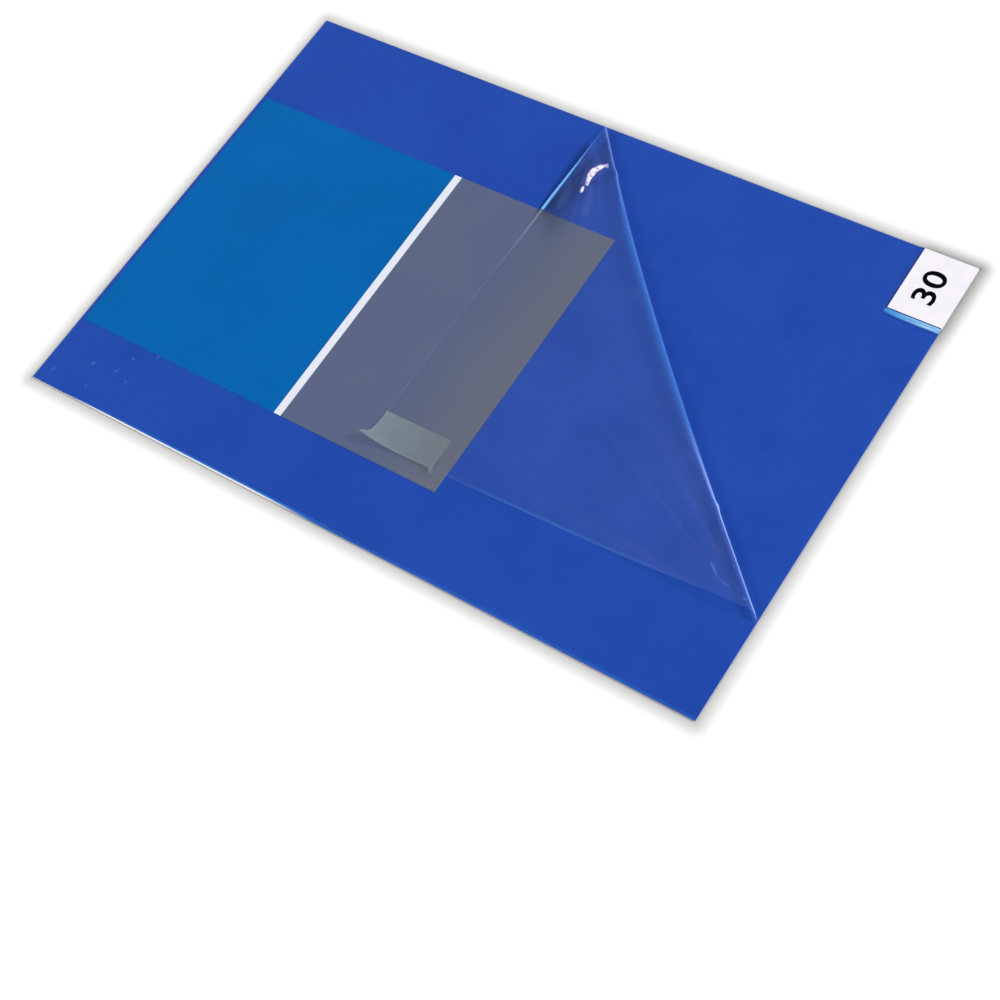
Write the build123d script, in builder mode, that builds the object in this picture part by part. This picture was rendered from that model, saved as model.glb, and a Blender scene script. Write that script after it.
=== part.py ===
"""A cleanroom sticky mat: a pad of thirty blue adhesive film sheets with a number tab on the corner of
each, on a release liner, under a clear cover film that is peeled back from one corner.

X runs along the long edge, Y along the short edge and Z up. The origin is the centre of the pad's outline,
on the floor. Lengths are in millimetres, and angles in degrees.
"""

import os
from math import cos, pi, radians, sin, sqrt

from build123d import *

# Pad
mat_length = 914.4
mat_width = 609.6
sheet_count = 30
sheet_film = 0.04
sheet_glue = 0.01
liner_film = 0.10

# Number tabs, on the pad's rear right corner, and the slope of the sheets beside them
tab_width = 65.0
tab_length = 88.0
tab_film = 0.04
tab_glue = 0.01
slope_width = 8.0

# Label, measured from the pad's left edge and front edge
label_length = 523.0
label_width = 376.0
label_left = 5.0
label_front = 94.5
label_film = 0.10
label_glue = 0.01

# Cover film: where it leaves the pad, measured from the corner along both edges, and how it rolls over
cover_film_thickness = 0.08
peel_leg = 492.0
roll_radius = 5.0
dip_angle = 4.5
settle_radius = 300.0
flap_clearance = 0.05
curl_radius = 120.0
curl_angle = 14.0
pull_tab_length = 88.0
pull_tab_depth = 42.0
pull_tab_film = 0.06
pull_tab_glue = 0.01

# How far a section runs past the outline that trims it
overrun_angle = 4.0
overrun = 5.0

# Levels
sheet_pitch = sheet_film + sheet_glue
tab_pitch = tab_film + tab_glue
pad_base = liner_film + sheet_glue
pad_top = pad_base + (sheet_count - 1) * sheet_pitch + sheet_film
cover_middle = pad_top + sheet_glue + cover_film_thickness / 2
cover_top = cover_middle + cover_film_thickness / 2
label_top = cover_top + label_glue + label_film

# Lengths along the film, from the line where it leaves the pad to its corner
reach = peel_leg / sqrt(2)
dip = radians(dip_angle)
curl = radians(curl_angle)
flap_rest = label_top + flap_clearance + cover_film_thickness / 2 - cover_middle
roll_run = roll_radius * (pi + dip)
incline_drop = roll_radius * (1 + cos(dip)) - settle_radius * (1 - cos(dip)) - flap_rest
incline_run = incline_drop / sin(dip)
settle_run = settle_radius * dip
curl_run = curl_radius * curl
rest_run = reach - roll_run - incline_run - settle_run - curl_run

# The corner, the middle of the line where the film leaves the pad, and the planes set on it
corner_x = mat_length / 2
corner_y = mat_width / 2
peel_middle = (corner_x - peel_leg / 2, corner_y - peel_leg / 2)
diagonal = (1, 1, 0)
section_plane = Plane(origin=(*peel_middle, cover_middle), x_dir=diagonal, z_dir=(1, -1, 0))
outline_plane = Plane(origin=(*peel_middle, 0), x_dir=diagonal, z_dir=(0, 0, 1))
trim_height = 4 * roll_radius + pad_top


def plate(base, thickness):
    """A plate of the pad's outline."""
    with BuildSketch(Plane.XY.offset(base)) as outline:
        Rectangle(mat_length, mat_width)
    extrude(outline.sketch, amount=thickness)


def corner_rise(base, rise, mode):
    """The block under a raised corner: as large as a tab at its top, and sloping down on its inner sides."""
    with BuildSketch(Plane.XY.offset(base)) as foot:
        with Locations((corner_x, corner_y)):
            Rectangle(tab_width + slope_width, tab_length + slope_width, align=(Align.MAX, Align.MAX))
    with BuildSketch(Plane.XY.offset(base + rise)) as head:
        with Locations((corner_x, corner_y)):
            Rectangle(tab_width, tab_length, align=(Align.MAX, Align.MAX))
    loft([foot.sketch, head.sketch], ruled=True, mode=mode)


def raised_sheet(layer):
    """One sheet, whose corner lies on as many tabs as there are sheets below it."""
    base = pad_base + layer * sheet_pitch
    with BuildPart() as sheet:
        plate(base, sheet_film)
        if layer:
            corner_rise(base + sheet_film, layer * tab_pitch, Mode.ADD)
            corner_rise(base, layer * tab_pitch, Mode.SUBTRACT)
    return sheet.part


def stuck_line(outside):
    """The film's line from the pad's far side to halfway round the roll's outer side."""
    flat = Line((-mat_length, -outside), (0, -outside))
    rise = JernArc(flat @ 1, (1, 0), roll_radius + outside, 90)
    return flat @ 0, rise @ 1


def flap_line(outside):
    """The film's line from there over the roll, down, along the label and up at the corner."""
    roll = JernArc((roll_radius + outside, roll_radius), (0, 1), roll_radius + outside, 90 + dip_angle)
    incline = Line(roll @ 1, roll @ 1 + (roll % 1) * incline_run)
    settle = JernArc(incline @ 1, incline % 1, settle_radius - outside, -dip_angle)
    rest = Line(settle @ 1, settle @ 1 + (settle % 1) * rest_run)
    tip = JernArc(rest @ 1, rest % 1, curl_radius - outside, -(curl_angle + overrun_angle))
    return roll @ 0, tip @ 1


def skin(line, inside, outside, half_length):
    """A skin between two distances outside the film's middle, extruded both ways along the roll."""
    with BuildSketch(section_plane) as section:
        with BuildLine():
            inner_start, inner_end = line(inside)
            outer_start, outer_end = line(outside)
            Line(inner_start, outer_start)
            Line(inner_end, outer_end)
        make_face()
    extrude(section.sketch, amount=half_length, both=True)


def flap_corners():
    """The flap's outline seen from above: how far it lies past the roll's axis, and its half width there."""
    past = [roll_radius + cover_film_thickness, 0, -roll_radius * sin(dip)]
    run = [roll_radius * pi / 2, roll_radius * pi, roll_run]
    for ahead, length in (
        (incline_run * cos(dip), incline_run),
        (settle_radius * sin(dip), settle_run),
        (rest_run, rest_run),
        (curl_radius * sin(curl), curl_run),
    ):
        past.append(past[-1] - ahead)
        run.append(run[-1] + length)
    return [(u, reach - w) for u, w in zip(past, run)]


def trim_to_flap():
    """Cut a skin to the flap's outline."""
    sides = flap_corners()
    far_side = [(u, -half) for u, half in reversed(sides[:-1])]
    with BuildSketch(outline_plane) as outline:
        with BuildLine():
            Polyline(*sides, *far_side, close=True)
        make_face()
    extrude(outline.sketch, amount=trim_height, mode=Mode.INTERSECT)


# The backing that is pulled off when the pad is laid
with BuildPart() as release_liner:
    plate(0, liner_film)

# The sheets, each raised at the corner over the tabs of those below it
sheets = [raised_sheet(layer) for layer in range(sheet_count)]
with BuildPart() as adhesive_sheets:
    add(sheets)

# One tab on the corner of each sheet
with BuildPart() as number_tabs:
    for layer in range(sheet_count):
        seat = pad_base + layer * (sheet_pitch + tab_pitch) + sheet_film + tab_glue
        with BuildSketch(Plane.XY.offset(seat)):
            with Locations((corner_x, corner_y)):
                Rectangle(tab_width, tab_length, align=(Align.MAX, Align.MAX))
        extrude(amount=tab_film)

# The part of the cover film that is turned back
with BuildPart() as turned_back:
    skin(flap_line, -cover_film_thickness / 2, cover_film_thickness / 2, reach + overrun)
    trim_to_flap()

# The part that is still stuck down, joined to it at the roll's outermost line
with BuildPart() as cover_film:
    skin(stuck_line, -cover_film_thickness / 2, cover_film_thickness / 2, mat_length)
    peel_start = (corner_x - peel_leg, corner_y)
    peel_end = (corner_x, corner_y - peel_leg)
    widest, half_width = flap_corners()[0]
    side_step = half_width / sqrt(2)
    forward = widest / sqrt(2)
    with BuildSketch(Plane.XY):
        with BuildLine():
            Polyline(
                peel_start,
                (-corner_x, corner_y),
                (-corner_x, -corner_y),
                (corner_x, -corner_y),
                peel_end,
                (peel_middle[0] + forward + side_step, peel_middle[1] + forward - side_step),
                (peel_middle[0] + forward - side_step, peel_middle[1] + forward + side_step),
                close=True,
            )
        make_face()
    extrude(amount=trim_height, mode=Mode.INTERSECT)
    add(turned_back.part)

# The pull tab, stuck on the corner that is turned back
with BuildPart() as cover_tab:
    pull_tab_inside = cover_film_thickness / 2 + pull_tab_glue
    skin(flap_line, pull_tab_inside, pull_tab_inside + pull_tab_film, reach + overrun)
    trim_to_flap()
    tip_distance = flap_corners()[-1][0] / sqrt(2)
    with BuildSketch(Plane.XY):
        with Locations((peel_middle[0] + tip_distance, peel_middle[1] + tip_distance)):
            Rectangle(pull_tab_length, pull_tab_depth, align=(Align.MIN, Align.MIN))
    extrude(amount=trim_height, mode=Mode.INTERSECT)

# The printed panel, stuck on the cover film and partly under the flap
with BuildPart() as label:
    with BuildSketch(Plane.XY.offset(cover_top + label_glue)):
        with Locations((-corner_x + label_left, -corner_y + label_front)):
            Rectangle(label_length, label_width, align=(Align.MIN, Align.MIN))
    extrude(amount=label_film)

os.makedirs("parts", exist_ok=True)
release_liner.part.label = "release_liner"
export_step(release_liner.part, "parts/release_liner.step")
adhesive_sheets.part.label = "adhesive_sheets"
export_step(adhesive_sheets.part, "parts/adhesive_sheets.step")
number_tabs.part.label = "number_tabs"
export_step(number_tabs.part, "parts/number_tabs.step")
cover_film.part.label = "cover_film"
export_step(cover_film.part, "parts/cover_film.step")
cover_tab.part.label = "cover_tab"
export_step(cover_tab.part, "parts/cover_tab.step")
label.part.label = "label"
export_step(label.part, "parts/label.step")
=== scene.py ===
"""Dresses the cleanroom sticky mat and sets up its studio.

The pad of blue sheets, its number tabs, its label and its liner keep their own solids and get their finishes
here. The cover film and its pull tab are modelled again as thin film that was cut flat and then rolled back.
Lengths are in metres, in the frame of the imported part.
"""

import logging
import math
from dataclasses import dataclass, field
from enum import Enum
from typing import Optional, Sequence, Union

import bmesh
import bpy
from mathutils import Matrix, Quaternion, Vector, noise

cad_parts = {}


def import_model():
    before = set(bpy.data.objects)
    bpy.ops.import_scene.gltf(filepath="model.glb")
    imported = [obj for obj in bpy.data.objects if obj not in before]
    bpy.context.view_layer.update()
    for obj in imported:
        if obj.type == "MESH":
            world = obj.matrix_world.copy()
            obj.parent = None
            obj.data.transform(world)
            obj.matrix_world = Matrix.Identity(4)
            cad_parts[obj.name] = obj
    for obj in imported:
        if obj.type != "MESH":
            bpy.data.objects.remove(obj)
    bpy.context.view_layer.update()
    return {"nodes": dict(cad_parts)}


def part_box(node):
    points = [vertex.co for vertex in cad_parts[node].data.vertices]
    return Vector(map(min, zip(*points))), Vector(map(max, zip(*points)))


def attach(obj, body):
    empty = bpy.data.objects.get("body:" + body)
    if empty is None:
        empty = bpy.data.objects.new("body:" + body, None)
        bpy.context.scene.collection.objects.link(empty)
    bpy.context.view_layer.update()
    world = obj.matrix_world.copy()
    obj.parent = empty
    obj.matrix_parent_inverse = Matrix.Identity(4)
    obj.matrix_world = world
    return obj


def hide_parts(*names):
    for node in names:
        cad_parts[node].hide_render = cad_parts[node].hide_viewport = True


LOG = logging.getLogger("sticky_mat")
MM = 0.001
BODY = "root"

Colour = tuple[float, float, float]
Span = tuple[float, float]
Socket = bpy.types.NodeSocket
Input = Union[float, Sequence[float], Socket]


def from_screen(red: int, green: int, blue: int) -> Colour:
    """The linear colour of a screen colour, whose red, green and blue go from 0 to 255."""
    shares = [value / 255 for value in (red, green, blue)]
    return tuple(s / 12.92 if s <= 0.04045 else ((s + 0.055) / 1.055) ** 2.4 for s in shares)


def ease(value: float) -> float:
    """A smooth step from 0 to 1 as value goes from 0 to 1."""
    t = min(max(value, 0.0), 1.0)
    return t * t * (3 - 2 * t)


def shifted(place: float, span: Span) -> Span:
    """Both ends of a span that is given from a place."""
    return place + span[0], place + span[1]


class Axis(Enum):
    """The outputs of a Separate XYZ node."""

    X = "X"
    Y = "Y"
    Z = "Z"


class Bench:
    """A material's node tree, with short ways to add the nodes that the finishes use."""

    def __init__(self, name: str) -> None:
        """Start an empty material.

        Args:
            name: the material's name.
        """
        self.material = bpy.data.materials.new(name)
        self.material.use_nodes = True
        self.tree = self.material.node_tree
        self.tree.nodes.clear()
        self.output = self.tree.nodes.new("ShaderNodeOutputMaterial")

    def node(self, kind: str, inputs: Optional[dict[Union[str, int], Input]] = None, **settings: object):
        """Add a node.

        Args:
            kind: the node's type.
            inputs: what its inputs hold, or the sockets that feed them.
            settings: its other properties.

        Returns:
            The new node.
        """
        made = self.tree.nodes.new(kind)
        for name, value in settings.items():
            setattr(made, name, value)
        for name, value in (inputs or {}).items():
            self.feed(made.inputs[name], value)
        return made

    def feed(self, socket: Socket, value: Input) -> None:
        """Link a socket to an input, or set the input's value.

        Args:
            socket: the input.
            value: a socket, a number, or a colour or vector.
        """
        if isinstance(value, bpy.types.NodeSocket):
            self.tree.links.new(value, socket)
        elif socket.type == "RGBA" and len(value) == 3:
            socket.default_value = (*value, 1.0)
        else:
            socket.default_value = value

    def maths(self, operation: str, first: Input, second: Input = 0.0, clamp: bool = False) -> Socket:
        """The result of one sum on one or two values."""
        made = self.node("ShaderNodeMath", {0: first, 1: second}, operation=operation, use_clamp=clamp)
        return made.outputs[0]

    def step(self, value: Input, start: float, end: float) -> Socket:
        """A smooth step from 0 at start to 1 at end.

        Args:
            value: what is measured.
            start: where the step begins.
            end: where the step ends.

        Returns:
            The step's socket.
        """
        inputs = {"Value": value, "From Min": start, "From Max": end}
        made = self.node("ShaderNodeMapRange", inputs, interpolation_type="SMOOTHSTEP")
        return made.outputs["Result"]

    def band(self, value: Input, low: float, high: float, soft: float) -> Socket:
        """1 between two values, and 0 outside them.

        Args:
            value: what is measured.
            low: where the band begins.
            high: where the band ends.
            soft: how far each of its ends is spread.

        Returns:
            The band's socket.
        """
        rise = self.step(value, low - soft / 2, low + soft / 2)
        fall = self.step(value, high + soft / 2, high - soft / 2)
        return self.maths("MULTIPLY", rise, fall)

    def blend(self, share: Input, first: Input, second: Input) -> Socket:
        """A mix of two colours.

        Args:
            share: how much of the second colour there is.
            first: the first colour.
            second: the second colour.

        Returns:
            The mix's socket.
        """
        made = self.node("ShaderNodeMix", data_type="RGBA")
        self.feed(made.inputs[0], share)
        self.feed(made.inputs[6], first)
        self.feed(made.inputs[7], second)
        return made.outputs[2]

    def place(self) -> Socket:
        """The Object coordinates."""
        return self.node("ShaderNodeTexCoord").outputs["Object"]

    def along(self, axis: Axis, vector: Optional[Socket] = None) -> Socket:
        """One part of a vector, which is the place on the object unless another is given."""
        split = self.node("ShaderNodeSeparateXYZ", {0: vector or self.place()})
        return split.outputs[axis.value]

    def grain(self, scale: float, detail: float = 3.0, stretch: Sequence[float] = (1, 1, 1)) -> Socket:
        """Noise on the Object coordinates.

        Args:
            scale: the noise's scale, in turns for each metre.
            detail: how many finer layers it has.
            stretch: how much denser it is along each axis.

        Returns:
            The noise's value, about 0.5 on average.
        """
        mapping = self.node("ShaderNodeMapping", {"Vector": self.place(), "Scale": tuple(stretch)})
        inputs = {"Vector": mapping.outputs[0], "Scale": scale, "Detail": detail}
        return self.node("ShaderNodeTexNoise", inputs).outputs[0]

    def bump(self, height: Socket, distance: float, strength: float = 1.0) -> Socket:
        """A normal bumped by a height, where a height of 1 measures the distance."""
        inputs = {"Height": height, "Distance": distance, "Strength": strength}
        return self.node("ShaderNodeBump", inputs).outputs[0]

    def scaled(self, value: Input, gain: float, base: float) -> Socket:
        """A value times a gain, plus a base."""
        inputs = {0: value, 1: gain, 2: base}
        return self.node("ShaderNodeMath", inputs, operation="MULTIPLY_ADD").outputs[0]

    def product(self, *values: Input) -> Socket:
        """Several values times each other.

        Args:
            values: the values.

        Returns:
            The product's socket.
        """
        result = values[0]
        for value in values[1:]:
            result = self.maths("MULTIPLY", result, value)
        return result

    def total(self, *values: Input) -> Socket:
        """The sum of several values, kept from 0 to 1.

        Args:
            values: the values.

        Returns:
            The sum's socket.
        """
        result = values[0]
        for value in values[1:-1]:
            result = self.maths("ADD", result, value)
        return self.maths("ADD", result, values[-1], clamp=True)

    def past(self, axis: Axis, place: float, span: Span) -> Socket:
        """A smooth step along an axis, over a span that is given from a place."""
        return self.step(self.along(axis), *shifted(place, span))

    def strip(self, axis: Axis, place: float, span: Span, soft: float) -> Socket:
        """A strip across an axis, over a span that is given from a place, with soft sides."""
        return self.band(self.along(axis), *shifted(place, span), soft)

    def patches(
        self, scale: float, detail: float, low: float, high: float, stretch: Sequence[float] = (1, 1, 1)
    ) -> Socket:
        """Soft patches, cut from noise between a low and a high value."""
        return self.step(self.grain(scale, detail, stretch), low, high)

    def uneven(self, scale: float, detail: float, spread: float, base: float) -> Socket:
        """A number that varies over the surface by a spread, such as a roughness."""
        return self.scaled(self.grain(scale, detail), spread, base)

    def grazing(self, gain: float, floor: float) -> Socket:
        """How much a film mirrors: its floor where it is faced, and a gain more at a low angle."""
        facing = self.node("ShaderNodeLayerWeight", {"Blend": 0.5}).outputs["Facing"]
        return self.scaled(self.maths("POWER", facing, 5.0), gain, floor)

    def mark(self, name: str) -> Socket:
        """A number that the mesh carries at each point."""
        return self.node("ShaderNodeAttribute", attribute_name=name).outputs["Fac"]

    def surface(self, colour: Input, rough: Input, specular: float = 0.5, **more: Input) -> Socket:
        """A surface's shader, with its further inputs by name."""
        inputs = {"Base Color": colour, "Roughness": rough, "Specular IOR Level": specular, **more}
        return self.node("ShaderNodeBsdfPrincipled", inputs).outputs[0]

    def finish(self, shader: Socket, cover: Optional[Input] = None) -> bpy.types.Material:
        """Join the shader to the output.

        Args:
            shader: the finished shader.
            cover: how much the surface hides, if it can be seen through.

        Returns:
            The material.
        """
        if cover is not None:
            clear = self.node("ShaderNodeBsdfTransparent").outputs[0]
            shader = self.node("ShaderNodeMixShader", {0: cover, 1: clear, 2: shader}).outputs[0]
        self.tree.links.new(shader, self.output.inputs["Surface"])
        return self.material


@dataclass(frozen=True)
class BlueSheet:
    """Blue polythene film with a tacky coat, whose cut edge is pale by the tabs, with painted highlights
    along its front and cut edges and where it slopes over the tabs, and painted shade round the tabs.

    A span gives where a soft border begins and ends, from the edge of the sheet or of the tabs.
    """

    right: float
    back: float
    front: float
    tab_width: float
    tab_length: float
    slope: float = 8 * MM
    colour: Colour = from_screen(32, 74, 171)
    deep: Colour = from_screen(28, 69, 165)
    pale: Colour = from_screen(40, 83, 180)
    edge_highlight: Colour = from_screen(250, 251, 255)
    cut_edge_right: Colour = from_screen(50, 96, 190)
    cut_edge_tab: Colour = from_screen(238, 236, 244)
    shine: Colour = from_screen(62, 142, 212)
    glint: Colour = from_screen(164, 216, 248)
    step_shade: Colour = from_screen(16, 40, 110)
    slope_foot: Span = (-0.4 * MM, 2.6 * MM)
    slope_top: Span = (-0.6 * MM, -1.8 * MM)
    slope_start: Span = (-3.5 * MM, 0.5 * MM)
    corner: Span = (14 * MM, -3 * MM)
    corner_lean: float = 1.6 * MM
    step_shade_left: Span = (-1.8 * MM, 0.2 * MM)
    step_shade_front: Span = (-1.2 * MM, 0.2 * MM)
    step_shade_soft: float = 0.8 * MM
    tab_border: Span = (-2 * MM, 0.0)
    foot_shade: Span = (-1.6 * MM, 0.6 * MM)
    foot_shade_soft: float = 1.6 * MM
    foot_shade_start: Span = (-4 * MM, 2 * MM)
    foot_shade_share: float = 0.4
    line: Span = (0.0, 3.2 * MM)
    line_soft: float = 1.8 * MM
    line_start: Span = (60 * MM, 220 * MM)
    line_fade: Span = (480 * MM, 360 * MM)
    rim: Span = (1.5 * MM, 0.6 * MM)
    rim_start: Span = (40 * MM, 130 * MM)
    rim_fade: Span = (430 * MM, 330 * MM)
    edge_fade: Span = (-100 * MM, -20 * MM)

    @property
    def tab_left(self) -> float:
        """Where the number tabs end on the left."""
        return self.right - self.tab_width

    @property
    def tab_front(self) -> float:
        """Where the number tabs end in front."""
        return self.back - self.tab_length

    def slope_share(self, bench: Bench) -> Socket:
        """Where the sheets slope up in front of the number tabs, which gets a painted highlight.

        Args:
            bench: the material's nodes.

        Returns:
            The share of the painted highlight there.
        """
        lean = bench.scaled(bench.past(Axis.X, self.tab_left, self.corner), -self.corner_lean, 0.0)
        y = bench.maths("ADD", bench.along(Axis.Y), lean)
        low = bench.step(y, *shifted(self.tab_front - self.slope, self.slope_foot))
        high = bench.past(Axis.Y, self.tab_front, self.slope_top)
        return bench.product(low, high, bench.past(Axis.X, self.tab_left, self.slope_start))

    def step_shade_share(self, bench: Bench) -> Socket:
        """Painted shade round the number tabs, where the sheets step down, and at the foot of their slope.

        Args:
            bench: the material's nodes.

        Returns:
            The share of the painted shade there.
        """
        left = bench.product(
            bench.strip(Axis.X, self.tab_left, self.step_shade_left, self.step_shade_soft),
            bench.past(Axis.Y, self.tab_front, self.tab_border),
        )
        front = bench.product(
            bench.strip(Axis.Y, self.tab_front, self.step_shade_front, self.step_shade_soft),
            bench.past(Axis.X, self.tab_left, self.tab_border),
        )
        foot = bench.product(
            bench.strip(Axis.Y, self.tab_front - self.slope, self.foot_shade, self.foot_shade_soft),
            bench.past(Axis.X, self.tab_left, self.foot_shade_start),
            self.foot_shade_share,
        )
        return bench.maths("MAXIMUM", bench.maths("MAXIMUM", left, front), foot)

    def front_line(self, bench: Bench) -> Socket:
        """The lit line along the front edge, strongest towards the left.

        Args:
            bench: the material's nodes.

        Returns:
            The share of the shine there.
        """
        return bench.product(
            bench.strip(Axis.Y, self.front, self.line, self.line_soft),
            bench.past(Axis.X, -self.right, self.line_start),
            bench.scaled(bench.past(Axis.X, -self.right, self.line_fade), gain=0.3, base=0.15),
        )

    def front_rim(self, bench: Bench) -> Socket:
        """The painted highlight along the front edge itself, a white line from the left corner to a little
        short of the middle.

        Args:
            bench: the material's nodes.

        Returns:
            The share of the painted white highlight there.
        """
        return bench.product(
            bench.past(Axis.Y, self.front, self.rim),
            bench.past(Axis.X, -self.right, self.rim_start),
            bench.past(Axis.X, -self.right, self.rim_fade),
        )

    def edge_colour(self, bench: Bench) -> Socket:
        """The colour of the pad's cut edge: a painted white highlight at the left, blue at the right, and
        pale by the tabs.

        Args:
            bench: the material's nodes.

        Returns:
            The colour's socket.
        """
        layers = bench.patches(scale=1.0, detail=2.0, low=0.3, high=0.7, stretch=(6, 6, 5000))
        tint = bench.total(bench.product(layers, 0.08), bench.past(Axis.X, 0.0, self.edge_fade))
        edge = bench.blend(tint, self.edge_highlight, self.cut_edge_right)
        by_tab = bench.product(
            bench.past(Axis.X, self.tab_left, self.tab_border),
            bench.past(Axis.Y, self.tab_front, self.tab_border),
        )
        return bench.blend(by_tab, edge, self.cut_edge_tab)

    def material(self) -> bpy.types.Material:
        """The finished material."""
        bench = Bench("blue_sheet")
        cloud = bench.patches(scale=9.0, detail=4.0, low=0.36, high=0.66)
        fleck = bench.patches(scale=60.0, detail=2.0, low=0.3, high=0.7)
        base = bench.blend(cloud, self.deep, self.colour)
        base = bench.blend(bench.product(fleck, 0.15), base, self.pale)
        # Painted highlights along the front edge: a lit line on the top and a white line at the edge.
        base = bench.blend(self.front_line(bench), base, self.shine)
        base = bench.blend(self.front_rim(bench), base, self.edge_highlight)
        # Painted highlight on the slope in front of the tabs, streaked and brightest towards the right.
        streak = bench.patches(scale=42.0, detail=2.0, low=0.38, high=0.62, stretch=(1, 9, 1))
        reach = bench.past(Axis.X, self.tab_left, (-6 * MM, self.tab_width))
        lit = bench.product(bench.scaled(streak, gain=0.55, base=0.45), reach)
        base = bench.blend(self.slope_share(bench), base, bench.blend(lit, self.shine, self.glint))
        # Painted shade round the tabs and at the foot of their slope.
        base = bench.blend(bench.product(self.step_shade_share(bench), 0.8), base, self.step_shade)
        upright = bench.along(Axis.Z, bench.node("ShaderNodeNewGeometry").outputs["Normal"])
        side = bench.step(bench.maths("ABSOLUTE", upright), start=0.6, end=0.3)
        base = bench.blend(side, base, self.edge_colour(bench))
        rough = bench.uneven(scale=35.0, detail=4.0, spread=0.16, base=0.26)
        skin = bench.bump(bench.grain(120.0), distance=0.05 * MM, strength=0.35)
        return bench.finish(bench.surface(base, rough, specular=0.25, Normal=skin))


@dataclass(frozen=True)
class TabPaper:
    """White synthetic paper of the number tabs."""

    colour: Colour = from_screen(241, 237, 243)
    shade: Colour = from_screen(236, 231, 240)

    def material(self) -> bpy.types.Material:
        """The finished material."""
        bench = Bench("tab_paper")
        cloud = bench.patches(scale=70.0, detail=5.0, low=0.35, high=0.75)
        rough = bench.uneven(scale=180.0, detail=3.0, spread=0.2, base=0.45)
        fibre = bench.bump(bench.grain(900.0, 4.0, (1, 3, 1)), distance=0.02 * MM, strength=0.4)
        base = bench.blend(cloud, self.colour, self.shade)
        return bench.finish(bench.surface(base, rough, specular=0.3, Normal=fibre))


@dataclass(frozen=True)
class Ink:
    """Black printing ink."""

    colour: Colour = (0.0015, 0.0015, 0.0018)
    worn: Colour = (0.004, 0.004, 0.005)

    def material(self) -> bpy.types.Material:
        """The finished material."""
        bench = Bench("ink")
        wear = bench.patches(scale=800.0, detail=3.0, low=0.5, high=0.8)
        rough = bench.uneven(scale=400.0, detail=2.0, spread=0.2, base=0.35)
        return bench.finish(bench.surface(bench.blend(wear, self.colour, self.worn), rough, specular=0.02))


@dataclass(frozen=True)
class Liner:
    """Siliconed release liner, milky white."""

    colour: Colour = from_screen(226, 229, 228)
    shade: Colour = from_screen(212, 217, 218)

    def material(self) -> bpy.types.Material:
        """The finished material."""
        bench = Bench("release_liner")
        cloud = bench.patches(scale=14.0, detail=4.0, low=0.35, high=0.7)
        rough = bench.uneven(scale=60.0, detail=3.0, spread=0.15, base=0.3)
        skin = bench.bump(bench.grain(200.0), distance=0.03 * MM, strength=0.3)
        return bench.finish(bench.surface(bench.blend(cloud, self.colour, self.shade), rough, Normal=skin))


@dataclass(frozen=True)
class PanelPrint:
    """The label's print: a blue panel, a white rule and a grey tint on film, warmer towards the right."""

    left: float
    right: float
    rule_from: float = 295 * MM
    rule_width: float = 10 * MM
    edge: float = 0.3 * MM
    warm: Span = (-110 * MM, 0.0)
    blue: Colour = from_screen(0, 98, 170)
    blue_shade: Colour = from_screen(0, 92, 164)
    white: Colour = from_screen(222, 226, 238)
    grey: Colour = from_screen(88, 98, 128)
    grey_warm: Colour = from_screen(102, 106, 118)

    def material(self) -> bpy.types.Material:
        """The finished material."""
        bench = Bench("label_print")
        tint = bench.patches(scale=7.0, detail=3.0, low=0.35, high=0.7)
        blue = bench.blend(tint, self.blue, self.blue_shade)
        warm = bench.product(bench.past(Axis.X, self.right, self.warm), 0.85)
        grey = bench.blend(bench.maths("ADD", warm, bench.product(tint, 0.1)), self.grey, self.grey_warm)
        start = self.left + self.rule_from
        past_rule = bench.past(Axis.X, start + self.rule_width, (-self.edge, self.edge))
        rule = bench.strip(Axis.X, start, (0.0, self.rule_width), 2 * self.edge)
        base = bench.blend(rule, bench.blend(past_rule, blue, grey), self.white)
        rough = bench.uneven(scale=50.0, detail=3.0, spread=0.12, base=0.3)
        skin = bench.bump(bench.grain(150.0), distance=0.03 * MM, strength=0.3)
        return bench.finish(bench.surface(base, rough, specular=0.12, Normal=skin))


@dataclass(frozen=True)
class StuckFilm:
    """Clear film that lies flat on the tacky sheet, and shows only where a bubble lifts it, as a painted pale
    highlight.
    """

    colour: Colour = from_screen(140, 176, 236)

    def material(self) -> bpy.types.Material:
        """The finished material."""
        bench = Bench("stuck_film")
        mirror = bench.grazing(gain=0.5, floor=0.006)
        # The crease mark holds the painted highlight on the bubbles.
        cover = bench.total(mirror, bench.mark("crease"))
        metal = bench.maths("DIVIDE", mirror, cover, clamp=True)
        rough = bench.uneven(scale=30.0, detail=1.0, spread=0.1, base=0.12)
        film = bench.surface(self.colour, rough, specular=0.0, Metallic=metal)
        return bench.finish(film, cover)


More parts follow.
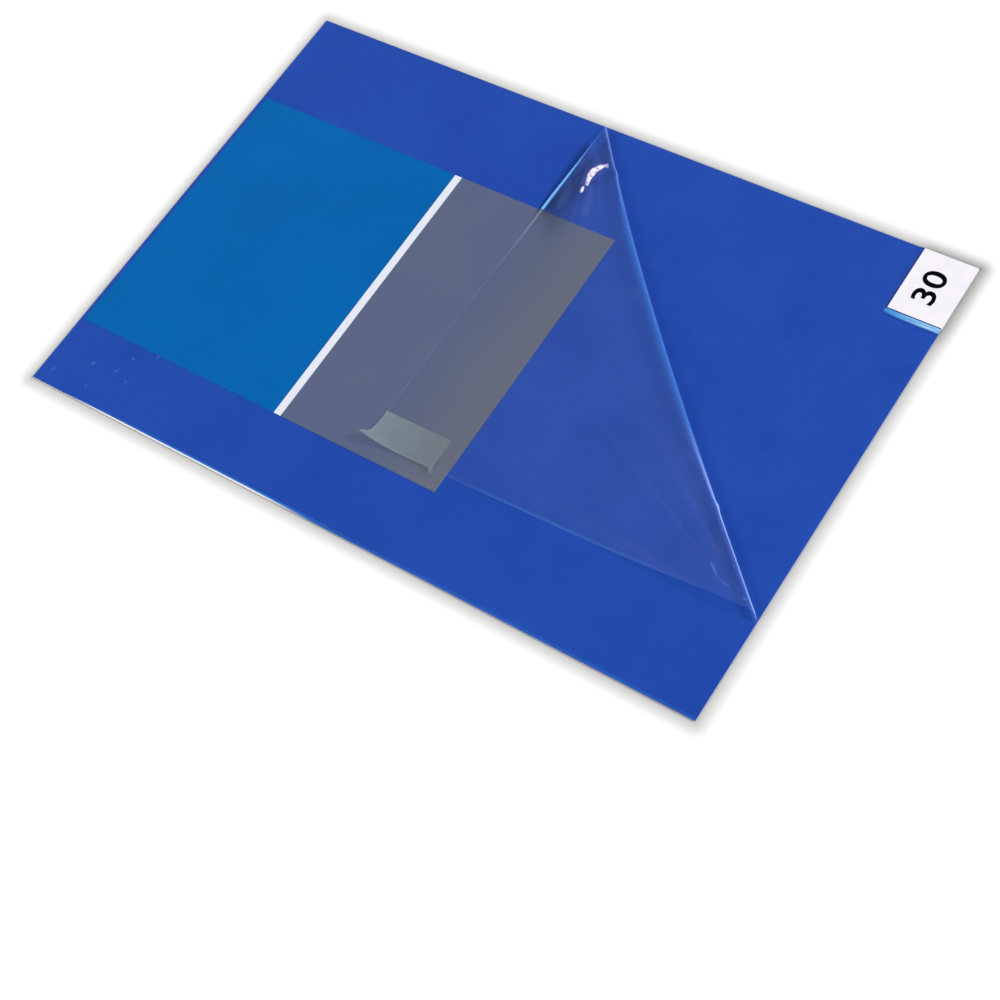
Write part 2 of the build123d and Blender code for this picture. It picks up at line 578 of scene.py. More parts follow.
@dataclass(frozen=True)
class ClearFilm:
    """Clear polythene film that is turned back, and hides little of what lies behind it.

    The film's mesh carries these numbers at each point: crease and rim, the white on a crease, partly stress
    whitening and partly a painted highlight, and the painted shade along its border, roll and pale, the
    painted highlight where the film turns over and where that shines most, lip, near a cut edge that stands
    off the pad, and glow, a painted glow behind the roll. Its map, cut, holds the point's place on the flat
    film, in metres.
    A span gives where a soft border begins and ends, from an end of the roll, a cut edge or the label's edge.
    """

    length: float
    width: float
    label_right: float
    label_back: float
    peel_leg: float
    haze: float = 0.030
    veil: Colour = from_screen(104, 156, 232)
    line: Colour = from_screen(66, 134, 226)
    lit_line: Colour = from_screen(124, 192, 246)
    pale_line: Colour = from_screen(166, 198, 250)
    dull_line: Colour = from_screen(168, 178, 190)
    white: Colour = from_screen(246, 240, 255)
    violet: Colour = from_screen(176, 160, 214)
    ray: Colour = from_screen(150, 140, 220)
    dark: Colour = from_screen(16, 26, 120)
    ray_start: float = 30 * MM
    lit_start: Span = (10 * MM, 90 * MM)
    lit_fade: Span = (260 * MM, 140 * MM)
    line_start: Span = (5 * MM, 40 * MM)
    line_width: float = 1.8 * MM
    lit_width: float = 2.6 * MM
    end_line: Span = (4.6 * MM, 2.4 * MM)
    end_start: Span = (60 * MM, 260 * MM)
    label_border: Span = (1 * MM, -1 * MM)

    def rays(self, bench: Bench) -> Socket:
        """Soft rays of painted sheen that spread from the two ends of the roll, where the film is drawn
        together.

        Args:
            bench: the material's nodes.

        Returns:
            How strong they are.
        """
        found = []
        ends = (
            (self.length / 2, self.width / 2 - self.peel_leg, 340 * MM, 15.0),
            (self.length / 2 - self.peel_leg, self.width / 2, 200 * MM, 13.0),
        )
        for x, y, far, turns in ends:
            across = bench.maths("SUBTRACT", bench.along(Axis.X), x)
            up = bench.maths("SUBTRACT", bench.along(Axis.Y), y)
            off = bench.node("ShaderNodeCombineXYZ", {0: across, 1: up}).outputs[0]
            length = bench.node("ShaderNodeVectorMath", {0: off}, operation="LENGTH").outputs["Value"]
            angle = bench.product(bench.maths("ARCTAN2", up, across), turns)
            spread = bench.node("ShaderNodeCombineXYZ", {0: angle, 1: length}).outputs[0]
            fan = bench.node("ShaderNodeTexNoise", {"Vector": spread, "Scale": 1.0, "Detail": 3.0})
            near = bench.step(length, self.ray_start, 2 * self.ray_start)
            fade = bench.product(near, bench.step(length, far, 3 * self.ray_start))
            found.append(bench.product(bench.step(fan.outputs[0], 0.46, 0.68), fade))
        return bench.maths("MAXIMUM", *found)

    def edge_line(self, bench: Bench) -> tuple[Socket, Socket]:
        """The lit line along the cut edges that are turned back, brightest by the mat's back edge.

        Args:
            bench: the material's nodes.

        Returns:
            How strong it is, and its colour.
        """
        flat = bench.node("ShaderNodeUVMap", uv_map="cut").outputs[0]
        u, v = bench.along(Axis.X, flat), bench.along(Axis.Y, flat)
        start, foot = self.length - self.peel_leg, self.width - self.peel_leg
        lit = bench.product(
            bench.step(u, *shifted(start, self.lit_start)), bench.step(u, *shifted(start, self.lit_fade))
        )
        reach = bench.scaled(lit, self.lit_width, self.line_width)
        from_side = bench.maths("DIVIDE", bench.maths("SUBTRACT", self.width, v), reach)
        side = bench.product(
            bench.step(from_side, 1.15, 0.65),
            bench.scaled(lit, gain=0.5, base=0.42),
            bench.step(u, *shifted(start, self.line_start)),
        )
        far = bench.step(v, self.width - 120 * MM, foot + 280 * MM)
        end = bench.product(
            bench.step(bench.maths("SUBTRACT", self.length, u), *self.end_line),
            0.27,
            bench.step(v, *shifted(foot, self.end_start)),
            bench.scaled(far, gain=0.75, base=0.25),
        )
        on_label = bench.product(
            bench.past(Axis.X, self.label_right, self.label_border),
            bench.past(Axis.Y, self.label_back, self.label_border),
        )
        dulled = bench.scaled(on_label, gain=-0.7, base=1.0)
        strength = bench.product(bench.maths("MAXIMUM", side, end), dulled)
        colour = bench.blend(bench.product(lit, side), self.line, self.lit_line)
        return strength, bench.blend(on_label, colour, self.dull_line)

    def material(self) -> bpy.types.Material:
        """The finished material."""
        bench = Bench("clear_film")
        crease, rim, roll, pale, lip, glow = (
            bench.mark(name) for name in ("crease", "rim", "roll", "pale", "lip", "glow")
        )
        edge, edge_colour = self.edge_line(bench)
        rays = self.rays(bench)
        cloud = bench.patches(scale=10.0, detail=2.0, low=0.35, high=0.7)
        streaks = bench.patches(scale=16.0, detail=2.0, low=0.45, high=0.75, stretch=(1, 3.2, 1))
        share = bench.total(
            bench.scaled(cloud, gain=0.4 * self.haze, base=0.8 * self.haze),
            bench.product(glow, bench.scaled(streaks, gain=0.05, base=0.03)),
            bench.product(rays, 0.05),
            bench.product(roll, bench.scaled(pale, gain=0.25, base=0.3)),
            edge,
            bench.product(rim, 0.8),
            bench.product(crease, 0.9),
        )
        mirror = bench.grazing(gain=0.8, floor=0.040)
        cover = bench.total(share, mirror)
        metal = bench.maths("DIVIDE", mirror, cover, clamp=True)
        # Painted sheen on the rays from the ends of the roll.
        colour = bench.blend(bench.product(rays, 0.8), self.veil, self.ray)
        # Painted highlight along the roll.
        colour = bench.blend(roll, colour, bench.blend(pale, self.line, self.pale_line))
        colour = bench.blend(bench.maths("MULTIPLY", edge, 3.0, clamp=True), colour, edge_colour)
        # Painted shade along the border of the white creases.
        colour = bench.blend(rim, colour, self.dark)
        # White of the creases: partly stress whitening, partly a painted highlight.
        spots = bench.patches(scale=230.0, detail=2.0, low=0.5, high=0.64)
        colour = bench.blend(crease, colour, bench.blend(spots, self.white, self.violet))
        colour = bench.blend(bench.maths("POWER", metal, 2.0), colour, self.white)
        rough = bench.uneven(scale=30.0, detail=3.0, spread=0.1, base=0.08)
        skin = bench.bump(bench.grain(25.0), distance=0.2 * MM, strength=0.3)
        film = bench.surface(colour, rough, specular=0.0, Metallic=metal, Normal=skin)
        shadow_ray = bench.node("ShaderNodeLightPath").outputs["Is Shadow Ray"]
        seen = bench.maths("SUBTRACT", 1.0, bench.product(shadow_ray, crease), clamp=True)
        cover = bench.total(bench.product(cover, seen), bench.product(shadow_ray, lip, 0.9))
        return bench.finish(film, cover)


@dataclass(frozen=True)
class PullTabFilm:
    """Greenish white tape, half clear, greyer towards its right end."""

    left: float
    right: float
    colour: Colour = from_screen(144, 162, 160)
    shade: Colour = from_screen(132, 149, 154)
    grey: Colour = from_screen(127, 137, 144)
    solid: float = 0.55
    shading: float = 0.28

    def material(self) -> bpy.types.Material:
        """The finished material."""
        bench = Bench("pull_tab")
        cloud = bench.patches(scale=30.0, detail=4.0, low=0.35, high=0.7)
        base = bench.blend(cloud, self.colour, self.shade)
        base = bench.blend(bench.step(bench.along(Axis.X), self.left, self.right), base, self.grey)
        rough = bench.uneven(scale=150.0, detail=3.0, spread=0.15, base=0.35)
        shadow_ray = bench.node("ShaderNodeLightPath").outputs["Is Shadow Ray"]
        cover = bench.scaled(shadow_ray, self.shading - self.solid, self.solid)
        return bench.finish(bench.surface(base, rough, specular=0.3), cover)


def dress(frame: dict, node: str, material: bpy.types.Material) -> None:
    """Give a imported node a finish.

    Args:
        frame: the loaded mat.
        node: the node's name.
        material: its finish.
    """
    packed = frame["nodes"][node]
    packed.data.materials.clear()
    packed.data.materials.append(material)
    LOG.info("dressed %s", node)


def in_scene(name: str, data: bpy.types.ID) -> bpy.types.Object:
    """Put a mesh, a light, a camera or a curve into the scene as an object."""
    made = bpy.data.objects.new(name, data)
    bpy.context.scene.collection.objects.link(made)
    return made


def as_object(name: str, mesh: bmesh.types.BMesh, material: bpy.types.Material) -> bpy.types.Object:
    """Turn a bmesh into an object that rides on the mat.

    Args:
        name: the piece's name.
        mesh: its shape.
        material: its finish.

    Returns:
        The new object.
    """
    data = bpy.data.meshes.new(name)
    mesh.to_mesh(data)
    mesh.free()
    data.materials.append(material)
    for polygon in data.polygons:
        polygon.use_smooth = True
    made = in_scene(name, data)
    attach(made, BODY)
    LOG.info("made %s with %d faces", name, len(data.polygons))
    return made


@dataclass
class Crease:
    """A crease in the film: an arc between two places seen from above, widest in its middle."""

    start: tuple[float, float]
    end: tuple[float, float]
    bow: float
    height: float
    width: float
    whitening_and_sheen: float
    ends: float = 0.4

    def away(self, x: float, y: float) -> float:
        """How many of its own widths a place is from the crease.

        Args:
            x: the place along X.
            y: the place along Y.

        Returns:
            The distance from the crease's middle line, over half its width there.
        """
        start, end = Vector(self.start), Vector(self.end)
        line = end - start
        off = Vector((x, y)) - start
        share = min(max(off.dot(line) / line.length_squared, 0.0), 1.0)
        side = Vector((-line.y, line.x)).normalized()
        middle = start + line * share + side * (4 * self.bow * share * (1 - share))
        width = self.width * (self.ends + (1 - self.ends) * math.sin(math.pi * share))
        return (Vector((x, y)) - middle).length / (width / 2)

    def rise(self, x: float, y: float) -> float:
        """How high the crease stands at a place."""
        distance = self.away(x, y)
        return self.height * math.exp(-distance * distance / 3)

    def white(self, x: float, y: float) -> float:
        """How white the crease is at a place, a painted highlight that on the film's creases is partly stress
        whitening too, with a crisper border where it is mostly white.
        """
        soft = 0.5 if self.whitening_and_sheen > 0.5 else 1.2
        return self.whitening_and_sheen * ease((1.25 - self.away(x, y)) / soft)

    def rim(self, x: float, y: float) -> float:
        """How dark the painted shade along the border of a crease that is mostly white is at a place."""
        distance = self.away(x, y)
        opaque = max(0.0, 2 * self.whitening_and_sheen - 1)
        return opaque * ease((distance - 0.8) / 0.4) * ease((2.0 - distance) / 0.7)


@dataclass
class Turn:
    """The way the cover film runs once it leaves the pad, seen along the roll."""

    peel_leg: float = 492 * MM
    radius: float = 5 * MM
    dip: float = math.radians(4.5)
    settle_radius: float = 300 * MM
    curl_radius: float = 120 * MM
    curl: float = math.radians(14)
    rest: float = 0.24 * MM
    bow: float = 10 * MM
    reach: float = field(init=False)
    incline: float = field(init=False)

    def __post_init__(self) -> None:
        """Work out the lengths that follow from the others."""
        self.reach = self.peel_leg / math.sqrt(2)
        drop = self.radius * (1 + math.cos(self.dip)) - self.settle_radius * (1 - math.cos(self.dip))
        self.incline = (drop - self.rest) / math.sin(self.dip)

    def section(self, run: float, outside: float) -> tuple[float, float]:
        """A point of the film's section.

        Args:
            run: how far along the film it is from where the film leaves the pad.
            outside: how far outside the film's middle it is.

        Returns:
            How far past the roll's axis it is, and how far above the stuck film's middle.
        """
        if run <= 0:
            return run, -outside
        turned = math.pi + self.dip
        roll_run = self.radius * turned
        if run <= roll_run:
            angle = run / self.radius
            arm = self.radius + outside
            return arm * math.sin(angle), self.radius - arm * math.cos(angle)
        u = -self.radius * math.sin(self.dip)
        z = self.radius * (1 + math.cos(self.dip))
        run -= roll_run
        ahead = min(run, self.incline)
        u -= ahead * math.cos(self.dip)
        z -= ahead * math.sin(self.dip)
        run -= ahead
        angle = min(run / self.settle_radius, self.dip)
        slope = self.dip - angle
        u -= self.settle_radius * (math.sin(self.dip) - math.sin(slope))
        z -= self.settle_radius * (math.cos(slope) - math.cos(self.dip))
        run -= self.settle_radius * angle
        level = self.reach - self.curl_radius * self.curl
        level -= roll_run + self.incline + self.settle_radius * self.dip
        flat = min(run, level)
        u -= flat
        run -= flat
        angle = run / self.curl_radius
        u -= self.curl_radius * math.sin(angle)
        z += self.curl_radius * (1 - math.cos(angle))
        up = slope - angle
        return u - outside * math.sin(up), z + outside * math.cos(up)


@dataclass
class Kink:
    """A sharp bend in the line of the roll."""

    along: float
    out: float
    width: float


@dataclass
class CoverFilm:
    """The clear cover film, cut flat, creased, and rolled back from its rear right corner."""

    low: Vector
    high: Vector
    turn: Turn
    creases: list[Crease]
    bubbles: list[Crease]
    kinks: list[Kink]
    thickness: float = 0.08 * MM
    cell: float = 5 * MM
    fine_cell: float = 2 * MM
    fine_cuts: int = 7
    roll_steps: int = 24
    wave: float = 1.5 * MM
    wave_turns: float = 9.0
    ripple: float = 0.4 * MM
    ripple_turns: float = 26.0
    kink_reach: float = 50 * MM
    side_lip: float = 60 * MM
    end_lip: float = 15 * MM
    end_lip_share: float = 0.35
    lip_lift: Span = (2.2 * MM, 5.2 * MM)
    lip_start: float = 60 * MM
    glow_reach: float = 45 * MM
    tab_depth: float = 42 * MM
    tab_length: float = 88 * MM
    tab_gap: float = 0.07 * MM
    tab_curl: float = 4.0 * MM
    tab_curl_width: float = 20 * MM
    tab_curl_middle: float = 0.35
    ear: float = 9 * MM
    left_ear: tuple[float, float] = (-1.1, 0.2)
    right_ear: tuple[float, float] = (0.4, -0.8)

    def __post_init__(self) -> None:
        """Set the fold's own axes."""
        self.level = self.low.z + self.thickness / 2
        self.out = Vector((1, 1, 0)).normalized()
        self.side = Vector((1, -1, 0)).normalized()
        leg = self.turn.peel_leg / 2
        self.middle = Vector((self.high.x - leg, self.high.y - leg, 0))
        self.turned = self.turn.radius * (math.pi + self.turn.dip)
        self.tip = self.fold(self.high, 0.0)

    def bowed(self, v: float) -> float:
        """How far the line where the film leaves the pad strays from a straight one."""
        share = v / self.turn.reach
        return -self.turn.bow * max(0.0, 1 - share * share) * (1 - 0.35 * share)

    def stray(self, flat: Vector) -> float:
        """How far the fold strays outwards, with the kinks, which fade away from the roll.

        Args:
            flat: a point, while the film was flat on the pad.

        Returns:
            How far the fold strays there.
        """
        off = flat - self.middle
        v = off.dot(self.side)
        bow = self.bowed(v)
        past = off.dot(self.out) - bow
        fade = 1 - ease((abs(past - self.turned / 2) - self.turned) / self.kink_reach)
        return bow + fade * sum(k.out * math.exp(-abs(v - k.along) / k.width) for k in self.kinks)

    def run(self, flat: Vector) -> float:
        """How far past the line where the film leaves the pad a point of the flat film lies."""
        return (flat - self.middle).dot(self.out) - self.stray(flat)

    def fold(self, flat: Vector, outside: float) -> Vector:
        """Where a point of the flat film comes to lie.

        Args:
            flat: the point, while the film was flat on the pad.
            outside: how far outside the film's middle it is.

        Returns:
            Its place.
        """
        v = (flat - self.middle).dot(self.side)
        u, z = self.turn.section(self.run(flat), outside)
        place = self.middle + self.out * (u + self.stray(flat)) + self.side * v
        place.z = self.level + z
        return place

    def waves(self, place: Vector) -> float:
        """How high the film's soft waves and its ripples stand at a place."""
        height = 0.0
        for size, turns, seed in ((self.wave, self.wave_turns, 3.7), (self.ripple, self.ripple_turns, 8.1)):
            share = 0.5 + 0.5 * noise.noise(Vector((place.x * turns, place.y * turns, seed)))
            height += size * share * share
        return height

    def settled(self, flat: Vector, outside: float) -> Vector:
        """Where a point of the flat film comes to lie, with the film's waves, creases and curled end.

        Args:
            flat: the point, while the film was flat on the pad.
            outside: how far outside the film's middle it is.

        Returns:
            Its place.
        """
        place = self.fold(flat, outside)
        loose = ease((self.run(flat) - self.turned + 4 * MM) / (30 * MM))
        if loose == 0:
            return place
        lift = self.waves(place) + sum(crease.rise(place.x, place.y) for crease in self.creases)
        across = (place.x - self.tip.x) / self.tab_length
        up = ease(1 - (place.y - self.tip.y) / self.tab_curl_width) * ease((1.5 - across) / 0.5)
        ends = min(max(2 * across - 1, -1.0), 1.0)
        lift += self.tab_curl * up * (self.tab_curl_middle + (1 - self.tab_curl_middle) * abs(ends) ** 3)
        ear = self.ear * up ** 5 * abs(ends) ** 26 * ease((1.3 - across) / 0.3)
        x, y = self.right_ear if ends > 0 else self.left_ear
        place.x += ear * x
        place.y += ear * y
        place.z += loose * lift
        return place

    def flat_sheet(self) -> bmesh.types.BMesh:
        """The film as it was cut, flat, with closer lines where it turns over and where it is creased."""
        mesh = bmesh.new()
        size = self.high - self.low
        centre = (self.low + self.high) / 2
        lines = round(size.x / self.cell), round(size.y / self.cell)
        bmesh.ops.create_grid(mesh, x_segments=lines[0], y_segments=lines[1], size=0.5)
        bmesh.ops.scale(mesh, vec=(size.x, size.y, 1), verts=mesh.verts)
        bmesh.ops.translate(mesh, vec=(centre.x, centre.y, 0), verts=mesh.verts)
        for step in range(self.roll_steps + 1):
            bmesh.ops.bisect_plane(
                mesh,
                geom=mesh.verts[:] + mesh.edges[:] + mesh.faces[:],
                dist=1e-7,
                plane_co=self.middle + self.out * (self.turned * step / self.roll_steps),
                plane_no=self.out,
            )
        self.bend_scores(mesh)
        self.refine(mesh)
        return mesh

    def bend_scores(self, mesh: bmesh.types.BMesh) -> None:
        """Shift the flat film's lines near the roll, so that they follow its bow.

        Args:
            mesh: the flat film.
        """
        for vert in mesh.verts:
            off = vert.co - self.middle
            near = 1 - ease((abs(off.dot(self.out) - self.turned / 2) - 14 * MM) / (70 * MM))
            vert.co += self.out * (self.stray(vert.co) * near)

    def refine(self, mesh: bmesh.types.BMesh) -> None:
        """Cut the flat film finer at its creases, at its bubbles and under the pull tab.

        Args:
            mesh: the flat film.
        """
        fine = []
        for edge in mesh.edges:
            middle = (edge.verts[0].co + edge.verts[1].co) / 2
            if edge.calc_length() < self.fine_cell:
                continue
            place = self.fold(middle, 0.0)
            marks = self.bubbles if self.run(middle) < 0 else self.creases
            by_tab = middle.x > self.high.x - 1.3 * self.tab_curl_width
            by_tab = by_tab and middle.y > self.high.y - 1.4 * self.tab_length
            if by_tab or any(m.away(place.x, place.y) < 2.0 + 2 * self.cell / m.width for m in marks):
                fine.append(edge)
        bmesh.ops.subdivide_edges(mesh, edges=fine, cuts=self.fine_cuts, use_grid_fill=True)

    def shine(self, flat: Vector, run: float, place: Vector) -> dict[str, float]:
        """The numbers that the finish reads at a point of the turned back film.

        Args:
            flat: the point, while the film was flat on the pad.
            run: how far past the line where the film leaves the pad it is.
            place: where it has come to lie.

        Returns:
            The numbers, by name.
        """
        past = run - self.turned
        share = ((flat - self.middle).dot(self.side) / self.turn.reach + 1) / 2
        broad = ease((share - 0.10) / 0.16) * ease((0.90 - share) / 0.35)
        off_middle = (run / self.turned - 0.5) / (1.0 + (0.9 * broad if run > self.turned / 2 else 0.0))
        lift_from, lift_to = self.lip_lift
        lifted = ease((place.z - self.level - lift_from) / (lift_to - lift_from)) * ease(past / (4 * MM))
        side_lip = 1 - ease((self.high.y - flat.y) / self.side_lip)
        end_lip = self.end_lip_share * (1 - ease((self.high.x - flat.x) / self.end_lip))
        behind_tip = ease((place.y - self.tip.y) / self.lip_start)
        return {
            "roll": 1 - ease((abs(off_middle) - 0.12 - 0.08 * broad) / (0.16 + 0.06 * broad)),
            "pale": 0.35 * ease((0.20 - share) / 0.08) + ease((share - 0.62) / 0.2),
            "lip": max(side_lip, end_lip) * lifted * behind_tip,
            "glow": ease(past / (3 * MM)) * math.exp(-max(0.0, past) / self.glow_reach),
            "crease": max((c.white(place.x, place.y) for c in self.creases), default=0.0),
            "rim": max((c.rim(place.x, place.y) for c in self.creases), default=0.0),
        }

    def build(self, free: bpy.types.Material, stuck: bpy.types.Material) -> bpy.types.Object:
        """Make the film.

        Args:
            free: the finish of the part that is turned back.
            stuck: the finish of the part that still lies on the pad.

        Returns:
            The film's object.
        """
        mesh = self.flat_sheet()
        names = ("crease", "rim", "roll", "pale", "lip", "glow")
        marks = {name: mesh.verts.layers.float.new(name) for name in names}
        cut = mesh.loops.layers.uv.new("cut")
        for face in mesh.faces:
            face.material_index = 0 if self.run(face.calc_center_median()) > 0 else 1
            for loop in face.loops:
                loop[cut].uv = (loop.vert.co.x - self.low.x, loop.vert.co.y - self.low.y)
        for vert in mesh.verts:
            flat = vert.co.copy()
            run = self.run(flat)
            vert.co = self.settled(flat, 0.0)
            if run <= 0:
                x, y, _ = vert.co
                vert.co.z += max((b.rise(x, y) for b in self.bubbles), default=0.0)
                # Painted highlight on the bubbles.
                vert[marks["crease"]] = max((b.white(x, y) for b in self.bubbles), default=0.0)
                continue
            for name, value in self.shine(flat, run, vert.co).items():
                vert[marks[name]] = value
        film = as_object("film", mesh, free)
        film.data.materials.append(stuck)
        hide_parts("cover_film")
        return film

    def build_tab(self, material: bpy.types.Material) -> bpy.types.Object:
        """Make the pull tab, which follows the film.

        Args:
            material: its finish.

        Returns:
            The tab's object.
        """
        mesh = bmesh.new()
        lines = round(self.tab_depth / MM), round(self.tab_length / MM)
        bmesh.ops.create_grid(mesh, x_segments=lines[0], y_segments=lines[1], size=0.5)
        bmesh.ops.scale(mesh, vec=(self.tab_depth, self.tab_length, 1), verts=mesh.verts)
        corner = self.high - Vector((self.tab_depth, self.tab_length, 0)) / 2
        bmesh.ops.translate(mesh, vec=(corner.x, corner.y, 0), verts=mesh.verts)
        for vert in mesh.verts:
            vert.co = self.settled(vert.co.copy(), self.tab_gap)
        tab = as_object("pull_tab", mesh, material)
        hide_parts("cover_tab")
        return tab


@dataclass
class Numeral:
    """The number printed on the top tab."""

    text: str
    centre: tuple[float, float]
    level: float
    height: float = 27 * MM
    weight: float = 0.016
    spacing: float = 1.04
    stretch: float = 1.26
    ink: float = 0.02 * MM
    gap: float = 0.005 * MM

    def build(self, material: bpy.types.Material) -> bpy.types.Object:
        """Print the number, reading towards the back.

        Args:
            material: the ink.

        Returns:
            The numeral's object.
        """
        curve = bpy.data.curves.new("numeral", "FONT")
        curve.body = self.text
        curve.offset = self.weight
        curve.extrude = 0.5
        curve.space_character = self.spacing
        drawn = in_scene("numeral", curve)
        graph = bpy.context.evaluated_depsgraph_get()
        data = bpy.data.meshes.new_from_object(drawn.evaluated_get(graph))
        bpy.data.objects.remove(drawn)
        mesh = bmesh.new()
        mesh.from_mesh(data)
        bpy.data.meshes.remove(data)
        bmesh.ops.remove_doubles(mesh, verts=mesh.verts, dist=1e-5)
        low = Vector([min(v.co[i] for v in mesh.verts) for i in range(3)])
        high = Vector([max(v.co[i] for v in mesh.verts) for i in range(3)])
        bmesh.ops.translate(mesh, vec=-(low + high) / 2, verts=mesh.verts)
        scale = self.height / (high.y - low.y)
        bmesh.ops.scale(mesh, vec=(scale * self.stretch, scale, self.ink), verts=mesh.verts)
        bmesh.ops.rotate(mesh, matrix=Matrix.Rotation(math.pi / 2, 3, "Z"), verts=mesh.verts)
        lift = self.level + self.ink / 2 + self.gap
        bmesh.ops.translate(mesh, vec=(*self.centre, lift), verts=mesh.verts)
        printed = as_object("numeral", mesh, material)
        for polygon in printed.data.polygons:
            polygon.use_smooth = False
        return printed


@dataclass(frozen=True)
class Sun:
    """Soft light that shines on the mat from one side."""

    name: str
    place: tuple[float, float, float]
    spread: float
    strength: float

    def build(self) -> None:
        """Hang the light."""
        data = bpy.data.lights.new(self.name, "SUN")
        data.angle = math.radians(self.spread)
        data.energy = self.strength
        sun = in_scene(self.name, data)
        sun.rotation_mode = "QUATERNION"
        sun.rotation_quaternion = (-Vector(self.place)).to_track_quat("-Z", "Y")


@dataclass
class Studio:
    """A pale floor, soft sunlight and the photograph's camera."""

    half_length: float
    half_width: float
    eye: tuple[float, float, float] = (1.0104, -0.8713, 1.7882)
    aim: tuple[float, float, float] = (0.1403, -0.1843, 0.0)
    roll: float = math.radians(21.06)
    lens: float = 70.09
    key: Sun = Sun("key", (0.72, 0.50, 0.48), spread=15, strength=3.1)
    fill: Sun = Sun("fill", (-0.40, -0.72, 0.56), spread=25, strength=1.75)
    overhead: float = 0.12
    horizon: float = 1.0
    sky: Span = (0.12, 0.75)
    floor_size: float = 12.0
    floor_gap: float = 0.1 * MM
    floor: Colour = (0.94, 0.94, 0.94)
    floor_pale: Colour = (0.955, 0.955, 0.955)
    floor_dark: Colour = (0.16, 0.15, 0.13)
    shade_width: float = 22 * MM
    shade: float = 0.46
    corner_shade: float = 0.24
    corner_length: Span = (-90 * MM, -50 * MM)
    corner_width: Span = (-130 * MM, -80 * MM)

    def build_camera(self) -> None:
        """Place the camera."""
        data = bpy.data.cameras.new("camera")
        data.sensor_width = 36
        data.lens = self.lens
        data.clip_start = 0.05
        data.clip_end = 50
        camera = in_scene("camera", data)
        camera.location = self.eye
        look = (Vector(self.aim) - Vector(self.eye)).to_track_quat("-Z", "Y")
        camera.rotation_mode = "QUATERNION"
        camera.rotation_quaternion = look @ Quaternion((0, 0, 1), -self.roll)
        bpy.context.scene.camera = camera

    def build_world(self) -> None:
        """Light the room softly, dim overhead and white near the horizon."""
        world = bpy.data.worlds.new("room")
        bpy.context.scene.world = world
        world.use_nodes = True
        tree = world.node_tree
        tree.nodes.clear()
        out = tree.nodes.new("ShaderNodeOutputWorld")
        place = tree.nodes.new("ShaderNodeTexCoord")
        split = tree.nodes.new("ShaderNodeSeparateXYZ")
        fall = tree.nodes.new("ShaderNodeMapRange")
        fall.interpolation_type = "SMOOTHSTEP"
        ends = (*self.sky, self.horizon, self.overhead)
        for name, value in zip(("From Min", "From Max", "To Min", "To Max"), ends):
            fall.inputs[name].default_value = value
        room = tree.nodes.new("ShaderNodeBackground")
        room.inputs["Color"].default_value = (1.0, 1.0, 1.0, 1.0)
        tree.links.new(place.outputs["Generated"], split.inputs[0])
        tree.links.new(split.outputs["Z"], fall.inputs["Value"])
        tree.links.new(fall.outputs["Result"], room.inputs["Strength"])
        tree.links.new(room.outputs[0], out.inputs["Surface"])

    def floor_material(self) -> bpy.types.Material:
        """The floor's finish, with a painted soft shadow close to the mat, deeper by its raised corner."""
        bench = Bench("floor")
        squares = []
        for axis, half in ((Axis.X, self.half_length), (Axis.Y, self.half_width)):
            past = bench.maths("SUBTRACT", bench.maths("ABSOLUTE", bench.along(axis)), half)
            past = bench.maths("MAXIMUM", past, 0.0)
            squares.append(bench.product(past, past))
        distance = bench.maths("SQRT", bench.maths("ADD", *squares))
        corner = bench.product(
            bench.past(Axis.X, self.half_length, self.corner_length),
            bench.past(Axis.Y, self.half_width, self.corner_width),
        )
        depth = bench.scaled(corner, self.corner_shade, self.shade)
        # Painted soft shadow round the mat, deeper by its raised corner.
        shade = bench.product(bench.step(distance, self.shade_width, 0.0), depth)
        colour = bench.blend(bench.grain(3.0, 2.0), self.floor, self.floor_pale)
        colour = bench.blend(shade, colour, self.floor_dark)
        return bench.finish(bench.node("ShaderNodeBsdfDiffuse", {"Color": colour}).outputs[0])

    def build_floor(self) -> None:
        """Lay the floor."""
        mesh = bmesh.new()
        bmesh.ops.create_grid(mesh, x_segments=2, y_segments=2, size=self.floor_size / 2)
        bmesh.ops.translate(mesh, vec=(0, 0, -self.floor_gap), verts=mesh.verts)
        data = bpy.data.meshes.new("floor")
        mesh.to_mesh(data)
        mesh.free()
        data.materials.append(self.floor_material())
        in_scene("floor", data)

    def build(self) -> None:
        """Set up the whole studio."""
        self.build_camera()
        self.build_world()
        self.build_floor()
        self.key.build()
        self.fill.build()
        bpy.context.scene.view_settings.view_transform = "Standard"


def film_creases() -> list[Crease]:
    """The creases in the turned back film: a crescent by the back edge, and fine ones by the right edge,
    white partly from stress whitening and partly as a painted highlight.
    """
    in_millimetres = (
        ((8.5, 250), (2, 216), -6.5, 1.2, 9.0, 1.0, 0.35),
        ((-1, 212), (1, 204), 0.0, 0.5, 3.6, 1.0, 0.5),
        ((-20, 212), (-13, 176), 0.0, 0.1, 16, 0.07, 0.5),
        ((7, 214), (22, 178), 0.0, 0.1, 16, 0.07, 0.5),
        ((380, -146), (400, -162), 1.5, 0.4, 5, 0.16, 0.2),
        ((400, -162), (419, -165), 1, 0.4, 3.5, 0.14, 0.2),
        ((434, -169), (438, -169), 0.0, 0.2, 3.4, 0.3, 0.3),
    )
    creases = []
    for start, end, bow, height, width, whitening_and_sheen, ends in in_millimetres:
        start, end = (tuple(value * MM for value in place) for place in (start, end))
        creases.append(Crease(start, end, bow * MM, height * MM, width * MM, whitening_and_sheen, ends))
    return creases


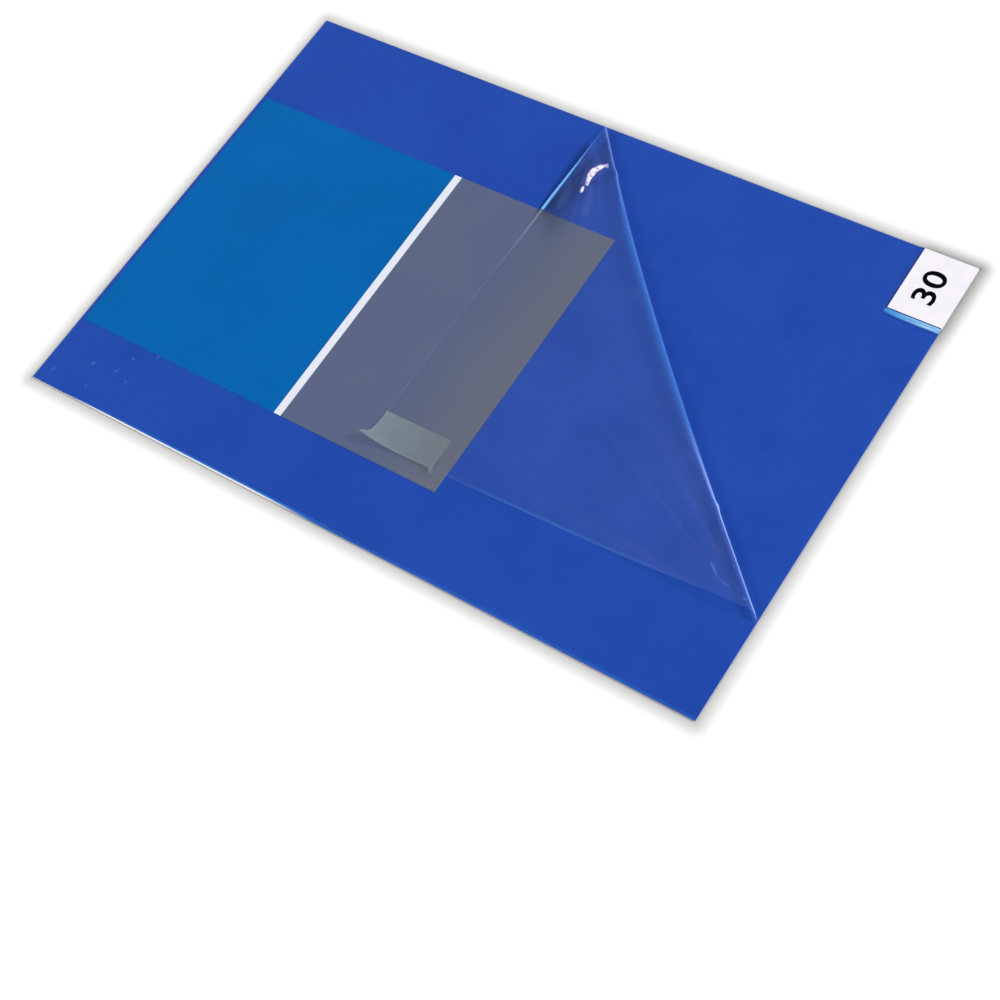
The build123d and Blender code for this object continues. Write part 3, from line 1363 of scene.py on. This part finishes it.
def film_bubbles(corner: Vector) -> list[Crease]:
    """Small bubbles under the stuck film, near its front left corner.

    Args:
        corner: that corner.

    Returns:
        The bubbles, as short arcs of three lengths and three strengths of painted highlight.
    """
    places = ((16, 17), (49, 21), (57, 46), (70, 18), (91, 51), (99, 73), (111, 45), (126, 90))
    bow, height, width = 1.2 * MM, 0.25 * MM, 2.2 * MM
    bubbles = []
    for index, (x, y) in enumerate(places):
        kind = index % 3
        start = (corner.x + x * MM, corner.y + y * MM)
        end = (start[0] + 1.4 * MM, start[1] + (3.4 + 0.6 * kind) * MM)
        bubbles.append(Crease(start, end, bow, height, width, 0.22 + 0.05 * kind))
    return bubbles


def main() -> None:
    """Dress the mat and set up the studio."""
    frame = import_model()
    sheets_low, sheets_high = (Vector(c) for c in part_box("adhesive_sheets"))
    tabs_low, tabs_high = (Vector(c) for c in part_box("number_tabs"))
    label_low, label_high = (Vector(c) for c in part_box("label"))
    film_low, film_high = (Vector(c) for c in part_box("cover_film"))
    tab_size = tabs_high - tabs_low
    Studio(half_length=sheets_high.x, half_width=sheets_high.y).build()
    blue = BlueSheet(sheets_high.x, sheets_high.y, sheets_low.y, tab_width=tab_size.x, tab_length=tab_size.y)
    dress(frame, "adhesive_sheets", blue.material())
    dress(frame, "number_tabs", TabPaper().material())
    dress(frame, "release_liner", Liner().material())
    dress(frame, "label", PanelPrint(left=label_low.x, right=label_high.x).material())
    numeral_from_corner = Vector((29 * MM, 43 * MM, 0))
    numeral_at = tabs_low + numeral_from_corner
    Numeral("30", (numeral_at.x, numeral_at.y), tabs_high.z).build(Ink().material())
    film = CoverFilm(
        low=film_low,
        high=film_high,
        turn=Turn(),
        creases=film_creases(),
        bubbles=film_bubbles(film_low),
        kinks=[Kink(-265 * MM, 1.6 * MM, 5 * MM), Kink(205 * MM, 1.4 * MM, 4 * MM)],
    )
    size = film_high - film_low
    clear = ClearFilm(
        length=size.x,
        width=size.y,
        label_right=label_high.x,
        label_back=label_high.y,
        peel_leg=film.turn.peel_leg,
    )
    cover = film.build(clear.material(), StuckFilm().material())
    tape = PullTabFilm(left=film.tip.x, right=film.tip.x + film.tab_length)
    tab = film.build_tab(tape.material())


if __name__ == "__main__":
    logging.basicConfig(level=logging.INFO)
    main()
